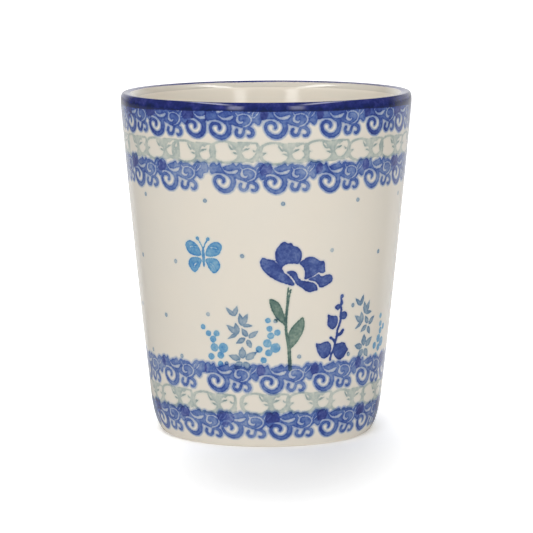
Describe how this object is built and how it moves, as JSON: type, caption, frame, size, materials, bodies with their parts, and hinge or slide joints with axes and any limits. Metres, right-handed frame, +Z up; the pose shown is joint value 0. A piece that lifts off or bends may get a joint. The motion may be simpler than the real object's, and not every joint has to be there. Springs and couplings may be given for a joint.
{
  "type": "stoneware tumbler",
  "caption": "Handle-less glazed stoneware cup with a rounded lip, tapering wall, curved heel and recessed foot, for hot or cold drinks.",
  "frame": {"origin": "centre of the foot, on the surface that the cup stands on", "axes": "+Z up along the cup's axis; -Y faces the side with the large flower; +X to the right of that side"},
  "size_m": [0.0816, 0.0816, 0.0958],
  "materials": {
    "clay": "fired cream stoneware, matte and slightly speckled where it is unglazed",
    "cobalt_colour": "dark cobalt blue brushed on under the glaze",
    "clear_glaze": "clear gloss glaze",
    "base_clear_glaze": "clear gloss glaze"
  },
  "bodies": {
    "root": {"stoneware_body": "clay", "cobalt_rim_band": "cobalt_colour", "glaze_coat": "clear_glaze", "base_glaze": "base_clear_glaze"}
  },
  "joints": []
}
